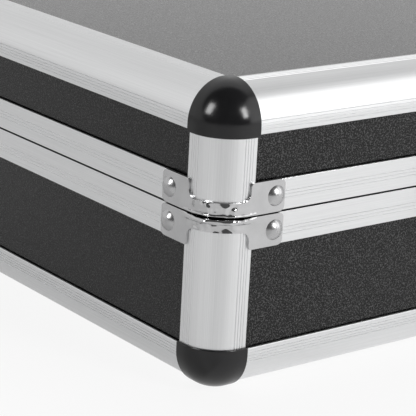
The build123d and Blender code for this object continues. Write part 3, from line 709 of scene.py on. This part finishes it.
for half, (level, rise) in outer_levels.items():
    cap = leg + ball_cover + ball_proud
    bm = bmesh.new()
    cube = bmesh.ops.create_cube(bm, size=cap)["verts"]
    bmesh.ops.translate(bm, verts=cube, vec=[cap / 2 - ball_proud] * 3)
    open_sides = [f for f in bm.faces if max(f.calc_center_median()) > cap - ball_proud - tolerance]
    bmesh.ops.delete(bm, geom=open_sides, context="FACES")
    outer_corner = min(bm.verts, key=lambda v: sum(v.co))
    bmesh.ops.bevel(
        bm,
        geom=outer_corner.link_edges[:],
        offset=edge_radius + ball_proud,
        affect="EDGES",
        segments=ball_segments,
        profile=0.5,
        material=-1,
    )
    bmesh.ops.recalc_face_normals(bm, faces=bm.faces[:])
    face_outwards(bm)
    bmesh.ops.solidify(bm, geom=bm.faces[:], thickness=ball_wall)
    seat = Matrix.Translation((corner_x, front_y, level)) @ Matrix.Diagonal((1, 1, rise, 1))
    bmesh.ops.transform(bm, matrix=seat, verts=bm.verts[:])
    mirrored_corners(bm)
    node = f"{half}_ball_corners"
    balls = finish_piece(f"moulded_{node}", bm, gloss_black, half, [node])
    soften_edges(balls, ball_rounding, segments=3)

# Corner plates
# Pressed and chromed steel beside the parting line: a wing on each side and a low band round
# the post. The base's plates have a rolled lip that fades out into the wings.
plate_fit = 0.1 * mm
plate_thickness = 1.0 * mm
plate_outside = plate_fit + plate_thickness
plate_reach = 35.2 * mm
plate_height = 14.0 * mm
plate_notch = 17.3 * mm
plate_band = 6.0 * mm
notch_radius = 4.0 * mm
wing_rounding = 2.8 * mm
wing_segments = 6
wrap_segments = 28
notch_flats = 6
plate_rounding = 0.3 * mm
lip_end = 22.0 * mm
lip_line_pitch = 1.2 * mm
lip_lines = 4
lip_rows = 8
# How far the lip stands out, and its height
lips = {"base": (1.5 * mm, 2.6 * mm), "lid": (0.7 * mm, 1.1 * mm)}


def plated_wear_group():
    """Orange peel of the plating, and soft patches where handling has dulled it."""
    takes = {
        "Vector": "NodeSocketVector",
        "Clean Color": "NodeSocketColor",
        "Dull Color": "NodeSocketColor",
        "Clean Roughness": "NodeSocketFloat",
        "Dull Roughness": "NodeSocketFloat",
    }
    group = new_group("plated_wear", takes)
    nodes = group.nodes
    links = group.links
    source = nodes.new("NodeGroupInput")
    result = nodes.new("NodeGroupOutput")
    orange_peel = add_node(nodes, "ShaderNodeTexNoise", {"Scale": 380, "Detail": 3})
    rubbing = add_node(nodes, "ShaderNodeTexNoise", {"Scale": 90, "Detail": 7})
    rubbed = add_node(nodes, "ShaderNodeMapRange", {"From Min": 0.35, "From Max": 0.75})
    tone = add_node(nodes, "ShaderNodeMix", data_type="RGBA")
    gloss = nodes.new("ShaderNodeMix")
    links.new(source.outputs["Vector"], orange_peel.inputs["Vector"])
    links.new(source.outputs["Vector"], rubbing.inputs["Vector"])
    links.new(rubbing.outputs["Fac"], rubbed.inputs["Value"])
    links.new(rubbed.outputs["Result"], tone.inputs["Factor"])
    links.new(rubbed.outputs["Result"], gloss.inputs["Factor"])
    links.new(source.outputs["Clean Color"], tone.inputs["A"])
    links.new(source.outputs["Dull Color"], tone.inputs["B"])
    links.new(source.outputs["Clean Roughness"], gloss.inputs["A"])
    links.new(source.outputs["Dull Roughness"], gloss.inputs["B"])
    links.new(tone.outputs["Result"], result.inputs["Color"])
    links.new(gloss.outputs["Result"], result.inputs["Roughness"])
    links.new(orange_peel.outputs["Fac"], result.inputs["Height"])
    return group


plated_wear = plated_wear_group()
cool_tint = 1.01


def handled_metal(name, clean, dull, clean_roughness, dull_roughness):
    """Metal with a worked finish that handling has dulled in patches."""
    material, nodes, links, surface = new_material(name)
    surface.inputs["Metallic"].default_value = 1
    place = nodes.new("ShaderNodeTexCoord")
    place.name = "place"
    effect = nodes.new("ShaderNodeGroup")
    effect.node_tree = plated_wear
    effect.inputs["Clean Color"].default_value = (clean, clean, clean * cool_tint, 1)
    effect.inputs["Dull Color"].default_value = (dull, dull, dull * cool_tint, 1)
    effect.inputs["Clean Roughness"].default_value = clean_roughness
    effect.inputs["Dull Roughness"].default_value = dull_roughness
    peel_bump = add_node(nodes, "ShaderNodeBump", {"Distance": 0.00005, "Strength": 0.2})
    peel_bump.name = "peel_bump"
    links.new(place.outputs["Object"], effect.inputs["Vector"])
    links.new(effect.outputs["Color"], surface.inputs["Base Color"])
    links.new(effect.outputs["Roughness"], surface.inputs["Roughness"])
    links.new(effect.outputs["Height"], peel_bump.inputs["Height"])
    links.new(peel_bump.outputs["Normal"], surface.inputs["Normal"])
    return material


chrome = handled_metal("bright_chrome", 0.6, 0.53, 0.1, 0.2)
rivet_steel = handled_metal("rivet_steel", 0.55, 0.42, 0.24, 0.34)

# Pressing stretches the sheet round the corner, which leaves it rippled there.
rippled_chrome = handled_metal("rippled_chrome", 0.6, 0.53, 0.08, 0.16)
ripple_start = 18 * mm
ripple_full = 10 * mm
nodes = rippled_chrome.node_tree.nodes
links = rippled_chrome.node_tree.links
split = nodes.new("ShaderNodeSeparateXYZ")
links.new(nodes["place"].outputs["Object"], split.inputs["Vector"])
near_bend = add_node(nodes, "ShaderNodeMath", operation="MULTIPLY")
bends = (("X", 0, case_width / 2), ("Y", case_y, case_depth / 2))
for socket, (axis, middle, reach) in enumerate(bends):
    about_middle = add_node(nodes, "ShaderNodeMath", {1: middle}, operation="SUBTRACT")
    distance = add_node(nodes, "ShaderNodeMath", operation="ABSOLUTE")
    bend = {"From Min": reach - ripple_start, "From Max": reach - ripple_full}
    closeness = add_node(nodes, "ShaderNodeMapRange", bend)
    closeness.interpolation_type = "SMOOTHSTEP"
    links.new(split.outputs[axis], about_middle.inputs[0])
    links.new(about_middle.outputs[0], distance.inputs[0])
    links.new(distance.outputs[0], closeness.inputs["Value"])
    links.new(closeness.outputs["Result"], near_bend.inputs[socket])
ripples = add_node(nodes, "ShaderNodeTexNoise", {"Scale": 170, "Detail": 1})
ripple_height = add_node(nodes, "ShaderNodeMath", operation="MULTIPLY")
ripple_bump = add_node(nodes, "ShaderNodeBump", {"Distance": 0.0032, "Strength": 1})
links.new(nodes["place"].outputs["Object"], ripples.inputs["Vector"])
links.new(ripples.outputs["Fac"], ripple_height.inputs[0])
links.new(near_bend.outputs[0], ripple_height.inputs[1])
links.new(ripple_height.outputs[0], ripple_bump.inputs["Height"])
links.new(nodes["peel_bump"].outputs["Normal"], ripple_bump.inputs["Normal"])
links.new(ripple_bump.outputs["Normal"], nodes["Principled BSDF"].inputs["Normal"])


def corner_wrap(outset, height):
    """Upright strip from wing end to wing end, round the corner and set out from both faces."""
    bm = bmesh.new()
    ends = ((plate_reach, -outset, 0), (-outset, -outset, 0), (-outset, plate_reach, 0))
    path = [bm.verts.new(point) for point in ends]
    strip = [bm.edges.new(path[:2]), bm.edges.new(path[1:])]
    swept = bmesh.ops.extrude_edge_only(bm, edges=strip)["geom"]
    bmesh.ops.translate(bm, verts=verts_of(swept), vec=(0, 0, height))
    ridge = [e for e in bm.edges if all(abs(v.co.x - v.co.y) < tolerance for v in e.verts)]
    bmesh.ops.bevel(
        bm,
        geom=ridge,
        offset=edge_radius + outset,
        affect="EDGES",
        segments=wrap_segments,
        profile=0.5,
        material=-1,
    )
    face_outwards(bm)
    return bm


def notch_lines(axis):
    """Points and outward directions of the flats that make up the notch's round inner corner."""
    centre = Vector(axis) * (plate_notch - notch_radius) + Vector((0, 0, plate_band + notch_radius))
    lines = []
    for step in range(notch_flats + 1):
        turn = math.radians(90 / notch_flats * step)
        outward = Vector(axis) * math.cos(turn) - Vector((0, 0, math.sin(turn)))
        lines.append((centre + outward * notch_radius, outward))
    return lines


for half, (lip_out, lip_height) in lips.items():
    bm = corner_wrap(plate_outside, plate_height)
    for index in range(lip_lines):
        for axis in (along_x, along_y):
            cut_line(bm, axis, lip_end - index * lip_line_pitch)
    notch = notch_lines(along_x) + notch_lines(along_y)
    for point, outward in notch:
        bmesh.ops.bisect_plane(
            bm, geom=everything(bm), dist=cut_tolerance, plane_co=point, plane_no=outward
        )
    above = []
    for face in bm.faces:
        centre = face.calc_center_median()
        if all((centre - point).dot(outward) < 0 for point, outward in notch):
            above.append(face)
    bmesh.ops.delete(bm, geom=above, context="FACES")
    rounded = []
    for vert in bm.verts:
        along = max(vert.co.x, vert.co.y)
        at_top = vert.co.z > plate_height - tolerance
        at_end = along > plate_reach - tolerance and (at_top or vert.co.z < tolerance)
        at_notch = abs(along - plate_notch) < tolerance and at_top
        if at_end or at_notch:
            rounded.append(vert)
    bmesh.ops.bevel(
        bm,
        geom=rounded,
        offset=wing_rounding,
        affect="VERTICES",
        segments=wing_segments,
        profile=0.5,
        material=-1,
    )
    for row in range(1, lip_rows + 1):
        cut_line(bm, upwards, lip_height * row / lip_rows)
    for vert in bm.verts:
        if vert.co.z < lip_height:
            along = max(vert.co.x, vert.co.y)
            fade = max(0, 1 - (max(0, along) / lip_end) ** 2)
            swell = math.sqrt(max(0, 1 - (2 * vert.co.z / lip_height - 1) ** 2))
            inset = Vector((min(vert.co.x - edge_radius, 0), min(vert.co.y - edge_radius, 0), 0))
            vert.co += inset.normalized() * lip_out * fade * swell
    bmesh.ops.solidify(bm, geom=bm.faces[:], thickness=plate_thickness)
    rise = ways_up[half]
    start = seam_level + rise * half_seam
    seat = Matrix.Translation((corner_x, front_y, start)) @ Matrix.Diagonal((1, 1, rise, 1))
    bmesh.ops.transform(bm, matrix=seat, verts=bm.verts[:])
    mirrored_corners(bm)
    node = f"{half}_corner_plates"
    plates = finish_piece(f"pressed_{node}", bm, rippled_chrome, half, [node], smooth=40)
    soften_edges(plates, plate_rounding, segments=3, sharp=50)

# Plate rivets
# Polished steel rivets with low round heads, one through each wing into the rim.
rivet_along = 30.6 * mm
rivet_level = 7.4 * mm
dome_radius = 4.5 * mm
dome_height = 2.2 * mm
dome_shading = 45
dome_sides = 40
dome_rings = 48


def rivet_heads(seats, radius, height):
    """Round rivet heads of one size, one on each seat."""
    bm = bmesh.new()
    ball_radius = (radius**2 + height**2) / (2 * height)
    bmesh.ops.create_uvsphere(bm, u_segments=dome_sides, v_segments=dome_rings, radius=ball_radius)
    bmesh.ops.translate(bm, verts=bm.verts[:], vec=(0, 0, height - ball_radius))
    cut = bmesh.ops.bisect_plane(
        bm,
        geom=everything(bm),
        dist=cut_tolerance,
        plane_co=(0, 0, 0),
        plane_no=upwards,
        clear_inner=True,
    )
    rim = [item for item in cut["geom_cut"] if isinstance(item, bmesh.types.BMEdge)]
    bmesh.ops.edgeloop_fill(bm, edges=rim)
    pattern = everything(bm)
    for seat in seats:
        head = bmesh.ops.duplicate(bm, geom=pattern)["geom"]
        bmesh.ops.transform(bm, matrix=seat, verts=verts_of(head))
    bmesh.ops.delete(bm, geom=verts_of(pattern), context="VERTS")
    return bm


def outward_seat(side, along, level, out):
    """Place on a side of the case whose z points out of it."""
    inward = side_inward[side]
    sideways = Vector((abs(inward.y), abs(inward.x), 0))
    axes = Matrix((sideways, (-inward).cross(sideways), -inward)).transposed()
    seat = axes.to_4x4()
    seat.translation = Vector((0, case_y, level)) + sideways * along
    seat.translation -= inward * (side_reach[side] + out)
    return seat


for half, rise in ways_up.items():
    seats = []
    for side, span in side_span.items():
        for sign in (-1, 1):
            along = sign * (span / 2 - rivet_along)
            seats.append(outward_seat(side, along, seam_level + rise * rivet_level, plate_outside))
    bm = rivet_heads(seats, dome_radius, dome_height)
    node = f"{half}_plate_rivets"
    finish_piece(
        f"polished_{node}", bm, rivet_steel, half, [node], smooth=dome_shading
    )

# Fitting rivets
# Small domed rivets that fix the hinge leaves, the latches and the handle's brackets.
# They go through the wall of the rim, or through the board behind the brackets.
small_radius = 3.0 * mm
small_height = 1.3 * mm
hinge_places = (-130 * mm, 130 * mm)
hinge_rivet_reach = 17 * mm
hinge_rivet_level = 8.4 * mm
leaf_thickness = 1.2 * mm
latch_places = {"left": -90 * mm, "right": 90 * mm}
latch_rivet_reach = 15.4 * mm
latch_rivet_level = 7.2 * mm
handle_places = (-52 * mm, 52 * mm)
bracket_level = seam_level - 24 * mm
bracket_rivet_reach = 11 * mm
bracket_out = 0.1 * mm
for half, rise in ways_up.items():
    seats = []
    for sign in (-1, 1):
        for x in hinge_places:
            level = seam_level + rise * hinge_rivet_level
            seats.append(outward_seat("back", x + sign * hinge_rivet_reach, level, leaf_thickness))
        for x in latch_places.values():
            level = seam_level + rise * latch_rivet_level
            seats.append(outward_seat("front", x + sign * latch_rivet_reach, level, leaf_thickness))
        if half == "base":
            for x in handle_places:
                along = x + sign * bracket_rivet_reach
                seats.append(outward_seat("front", along, bracket_level, bracket_out))
    bm = rivet_heads(seats, small_radius, small_height)
    node = f"{half}_fitting_rivets"
    finish_piece(
        f"polished_{node}", bm, rivet_steel, half, [node], smooth=dome_shading
    )

# Hinges
# Two pressed steel hinges, nickel plated, with rolled knuckles and a plain steel pin each.
# The lid's two knuckles turn between the base's three.
satin_nickel = handled_metal("satin_nickel", 0.62, 0.5, 0.24, 0.38)
plain_steel = handled_metal("plain_steel", 0.5, 0.36, 0.3, 0.46)


def softened_copy(node, name, material, body, width):
    """The solid with its sharp edges rounded a little, as pressing, casting or tumbling leaves them."""
    bm = bmesh.new()
    bm.from_mesh(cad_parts[node].data)
    bmesh.ops.remove_doubles(bm, verts=bm.verts[:], dist=tolerance)
    bmesh.ops.dissolve_limit(bm, angle_limit=math.radians(1), verts=bm.verts[:], edges=bm.edges[:])
    piece = finish_piece(name, bm, material, body, [node])
    soften_edges(piece, width, segments=3, sharp=40)
    return piece


for half in outer_levels:
    node = f"{half}_hinge_leaves"
    softened_copy(node, f"rolled_{node}", satin_nickel, half, 0.2 * mm)
softened_copy("hinge_pins", "turned_hinge_pins", plain_steel, "base", 0.25 * mm)

# Latches
# Nickel plated hasp latches. The sheet keeper and its pin are riveted to the lid's rim, and the
# die-cast lock housing, with its release button and steel key plug, to the base's rim.
softened_copy("latch_pins", "turned_latch_pins", plain_steel, "lid", 0.25 * mm)
latch_parts = (
    ("keeper", "pressed_{}_keeper", satin_nickel, "lid", "chrome_steel", 0.25 * mm),
    ("hasp", "pressed_{}_hasp", chrome, "hasp_{}", "chrome_steel", 0.3 * mm),
    ("housing", "cast_{}_housing", satin_nickel, "base", "chrome_steel", 0.3 * mm),
    ("button", "cast_{}_button", chrome, "button_{}", "chrome_steel", 0.35 * mm),
    ("key_plug", "turned_{}_plug", plain_steel, "key_{}", "steel", 0.2 * mm),
)
for hand in latch_places:
    for part, name, metal, body, slot, width in latch_parts:
        node = f"latch_{hand}_{part}"
        softened_copy(node, name.format(hand), metal, body.format(hand), width)

# Handle
# A moulded black grip with a fine pebbled surface, which hangs on steel pins in two nickel
# plated brackets. The brackets are riveted through the front board.
grip_plastic, nodes, links, surface = new_material("pebbled_black_plastic")
surface.inputs["IOR"].default_value = 1.48
place = nodes.new("ShaderNodeTexCoord")
pebbles = nodes.new("ShaderNodeTexVoronoi")
pebbles.feature = "SMOOTH_F1"
pebbles.inputs["Scale"].default_value = 1100
scuffs = add_node(nodes, "ShaderNodeTexNoise", {"Scale": 60, "Detail": 8, "Roughness": 0.7})
scuffed = add_node(nodes, "ShaderNodeMapRange", {"From Min": 0.5, "From Max": 0.75})
grip_tone = add_node(
    nodes,
    "ShaderNodeMix",
    {"A": (0.012, 0.012, 0.013, 1), "B": (0.045, 0.045, 0.047, 1)},
    data_type="RGBA",
)
grip_gloss = add_node(nodes, "ShaderNodeMapRange", {"To Min": 0.42, "To Max": 0.6})
pebble_bump = add_node(nodes, "ShaderNodeBump", {"Distance": 0.0001, "Strength": 0.8})
links.new(place.outputs["Object"], pebbles.inputs["Vector"])
links.new(place.outputs["Object"], scuffs.inputs["Vector"])
links.new(scuffs.outputs["Fac"], scuffed.inputs["Value"])
links.new(scuffed.outputs["Result"], grip_tone.inputs["Factor"])
links.new(scuffed.outputs["Result"], grip_gloss.inputs["Value"])
links.new(pebbles.outputs["Distance"], pebble_bump.inputs["Height"])
links.new(grip_tone.outputs["Result"], surface.inputs["Base Color"])
links.new(grip_gloss.outputs["Result"], surface.inputs["Roughness"])
links.new(pebble_bump.outputs["Normal"], surface.inputs["Normal"])
for node, name, material, body, slot, width in (
    ("handle_brackets", "pressed_handle_brackets", satin_nickel, "base", "chrome_steel", 0.3 * mm),
    ("handle_pins", "turned_handle_pins", plain_steel, "base", "steel", 0.3 * mm),
    ("handle_grip", "moulded_handle_grip", grip_plastic, "handle", "grip_plastic", 0.8 * mm),
):
    softened_copy(node, name, material, body, width)

# Foam
# Charcoal open-cell foam: a thin sheet on the bottom board, the thick insert with six microphone
# pockets and a tray, and an egg-crate block in the lid. It is cut, and held in by its own spring.
foam, nodes, links, surface = new_material("charcoal_foam")
surface.inputs["Specular IOR Level"].default_value = 0.2
surface.inputs["Sheen Weight"].default_value = 0.25
surface.inputs["Sheen Roughness"].default_value = 0.6
place = nodes.new("ShaderNodeTexCoord")
open_cells = add_node(nodes, "ShaderNodeTexVoronoi", {"Scale": 1300})
blotches = add_node(nodes, "ShaderNodeTexNoise", {"Scale": 45, "Detail": 5})
cell_height = add_node(nodes, "ShaderNodeMath", {1: 0.8}, operation="MULTIPLY_ADD")
cell_depth = add_node(nodes, "ShaderNodeMapRange", {"From Min": 0.5, "From Max": 1.2})
foam_tone = add_node(
    nodes,
    "ShaderNodeMix",
    {"A": (0.07, 0.07, 0.075, 1), "B": (0.025, 0.025, 0.027, 1)},
    data_type="RGBA",
)
foam_roughness = add_node(nodes, "ShaderNodeMapRange", {"To Min": 0.9, "To Max": 1.0})
cell_bump = add_node(nodes, "ShaderNodeBump", {"Distance": 0.0005, "Strength": 0.9})
links.new(place.outputs["Object"], open_cells.inputs["Vector"])
links.new(place.outputs["Object"], blotches.inputs["Vector"])
links.new(open_cells.outputs["Distance"], cell_height.inputs[0])
links.new(blotches.outputs["Fac"], cell_height.inputs[2])
links.new(cell_height.outputs[0], cell_depth.inputs["Value"])
links.new(cell_depth.outputs["Result"], foam_tone.inputs["Factor"])
links.new(cell_depth.outputs["Result"], foam_roughness.inputs["Value"])
links.new(open_cells.outputs["Distance"], cell_bump.inputs["Height"])
links.new(foam_tone.outputs["Result"], surface.inputs["Base Color"])
links.new(foam_roughness.outputs["Result"], surface.inputs["Roughness"])
links.new(cell_bump.outputs["Normal"], surface.inputs["Normal"])

sheet = softened_copy("base_foam_sheet", "cut_foam_sheet", foam, "base", 0.8 * mm)
insert = softened_copy("base_foam_insert", "cut_foam_insert", foam, "base", 1.4 * mm)

crate_height = 16 * mm
crates_wide = 15
crates_deep = 11
steps_per_crate = 10
low, high = (Vector(corner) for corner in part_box("lid_foam"))
bm = bmesh.new()
bmesh.ops.create_grid(
    bm, x_segments=crates_wide * steps_per_crate, y_segments=crates_deep * steps_per_crate, size=0.5
)
bmesh.ops.scale(bm, verts=bm.verts[:], vec=(high.x - low.x, high.y - low.y, 1))
bmesh.ops.translate(bm, verts=bm.verts[:], vec=((low.x + high.x) / 2, (low.y + high.y) / 2, high.z))
outer_edges = [edge for edge in bm.edges if edge.is_boundary]
raised = bmesh.ops.extrude_edge_only(bm, edges=outer_edges)["geom"]
top_edges = [item for item in raised if isinstance(item, bmesh.types.BMEdge) and item.is_boundary]
top_verts = set(verts_of(raised))
for vert in bm.verts:
    if vert not in top_verts:
        across = math.cos(math.tau * crates_wide * (vert.co.x - low.x) / (high.x - low.x))
        along = math.cos(math.tau * crates_deep * (vert.co.y - low.y) / (high.y - low.y))
        vert.co.z = low.z + crate_height * (1 - across * along) / 2
bmesh.ops.edgeloop_fill(bm, edges=top_edges)
bmesh.ops.recalc_face_normals(bm, faces=bm.faces[:])
crate = finish_piece("egg_crate_lid_foam", bm, foam, "lid", ["lid_foam"], smooth=50)
